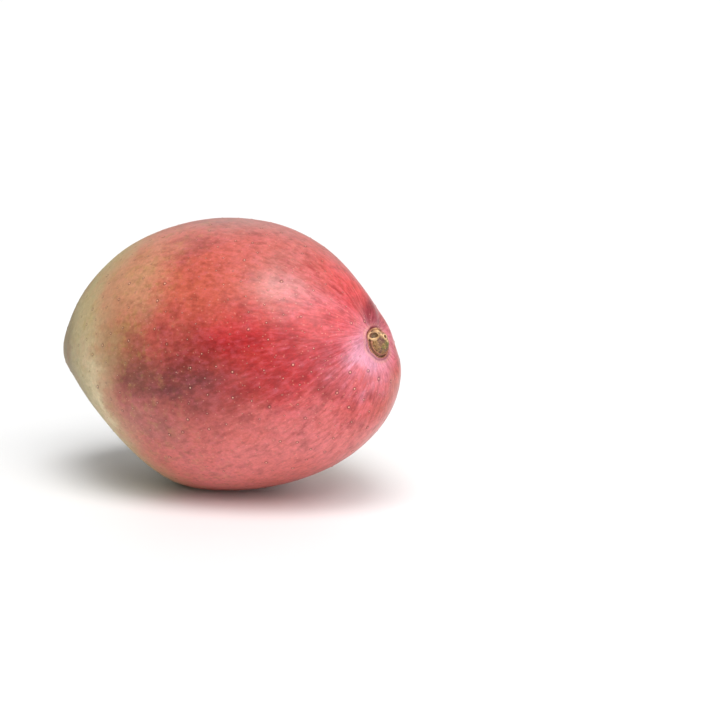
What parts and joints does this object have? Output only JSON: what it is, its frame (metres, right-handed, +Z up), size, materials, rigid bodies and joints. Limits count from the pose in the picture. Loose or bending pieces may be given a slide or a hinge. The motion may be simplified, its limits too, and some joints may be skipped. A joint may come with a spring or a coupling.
{
  "type": "mango",
  "caption": "Whole ripe red mango lying on its side on a small flat spot, with the woody stub of its stalk in the hollow at the stem end.",
  "frame": {"origin": "on the ground, under the middle of the whole mango's box", "axes": "+X along the fruit's length towards the stem, +Z up from the surface that it lies on"},
  "size_m": [0.1242, 0.0854, 0.0876],
  "materials": {
    "skin": "thin waxy fruit skin, softly glossy, crimson over orange and sage green, with fine pale pores",
    "stub_wood": "dry broken wood, olive brown with tan rims"
  },
  "bodies": {
    "root": {"mango_fruit": "skin", "stem_stub": "stub_wood"}
  },
  "joints": []
}
